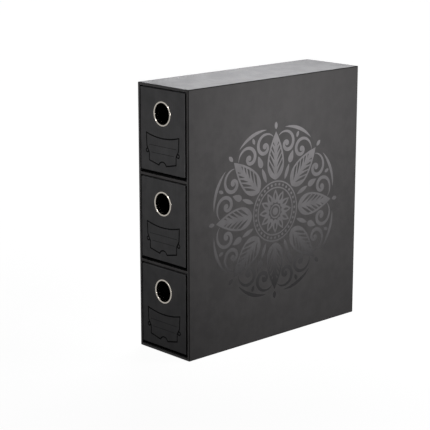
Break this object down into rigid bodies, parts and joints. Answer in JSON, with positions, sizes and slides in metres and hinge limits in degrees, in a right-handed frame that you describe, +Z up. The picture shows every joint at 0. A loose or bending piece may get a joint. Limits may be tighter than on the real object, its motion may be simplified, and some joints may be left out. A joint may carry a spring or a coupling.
{
  "type": "trading card drawer box",
  "caption": "Upright rigid box that stores sleeved cards in stacked pull-out drawers, each with a metal finger ring and a pressed label frame; round gloss ornament on one side.",
  "frame": {"origin": "middle of the footprint, on the surface the box stands on", "axes": "+Z up; -Y is the open front with the drawer fascias; +X is the side with the ornament"},
  "size_m": [0.0871, 0.2868, 0.32],
  "materials": {
    "case_paper": "dark grey soft-touch covering paper with a faint cloudy surface",
    "drawer_paper": "charcoal soft-touch covering paper, slightly darker than the case",
    "lining_paper": "plain matt black lining paper",
    "grey_board": "solid grey rigid board, covered all over by the papers",
    "gloss_varnish": "raised spot varnish, smooth and satin-glossy on the matt paper",
    "bright_nickel": "polished nickel plate, slightly warm"
  },
  "bodies": {
    "case": {"case_left_board": "grey_board", "case_right_board": "grey_board", "case_top_board": "grey_board", "case_bottom_board": "grey_board", "case_back_board": "grey_board", "upper_shelf_board": "grey_board", "lower_shelf_board": "grey_board", "case_wrap": "case_paper", "upper_shelf_wrap": "case_paper", "lower_shelf_wrap": "case_paper", "case_lining": "lining_paper", "case_base_sheet": "lining_paper", "cheek_medallion": "gloss_varnish"},
    "upper_drawer": {"upper_tray_floor_board": "grey_board", "upper_tray_left_board": "grey_board", "upper_tray_right_board": "grey_board", "upper_tray_back_board": "grey_board", "upper_tray_front_board": "grey_board", "upper_tray_wrap": "drawer_paper", "upper_tray_lining": "lining_paper", "upper_drawer_fascia_board": "grey_board", "upper_drawer_fascia_wrap": "drawer_paper", "upper_drawer_finger_ring": "bright_nickel", "upper_drawer_ring_washer": "bright_nickel"},
    "middle_drawer": {"middle_tray_floor_board": "grey_board", "middle_tray_left_board": "grey_board", "middle_tray_right_board": "grey_board", "middle_tray_back_board": "grey_board", "middle_tray_front_board": "grey_board", "middle_tray_wrap": "drawer_paper", "middle_tray_lining": "lining_paper", "middle_drawer_fascia_board": "grey_board", "middle_drawer_fascia_wrap": "drawer_paper", "middle_drawer_finger_ring": "bright_nickel", "middle_drawer_ring_washer": "bright_nickel"},
    "lower_drawer": {"lower_tray_floor_board": "grey_board", "lower_tray_left_board": "grey_board", "lower_tray_right_board": "grey_board", "lower_tray_back_board": "grey_board", "lower_tray_front_board": "grey_board", "lower_tray_wrap": "drawer_paper", "lower_tray_lining": "lining_paper", "lower_drawer_fascia_board": "grey_board", "lower_drawer_fascia_wrap": "drawer_paper", "lower_drawer_finger_ring": "bright_nickel", "lower_drawer_ring_washer": "bright_nickel"}
  },
  "joints": [
    {"name": "upper_drawer_slide", "type": "slide", "parent": "case", "child": "upper_drawer", "axis": [0, -1, 0], "range_m": [0, 0.28]},
    {"name": "middle_drawer_slide", "type": "slide", "parent": "case", "child": "middle_drawer", "axis": [0, -1, 0], "range_m": [0, 0.28]},
    {"name": "lower_drawer_slide", "type": "slide", "parent": "case", "child": "lower_drawer", "axis": [0, -1, 0], "range_m": [0, 0.28]}
  ]
}
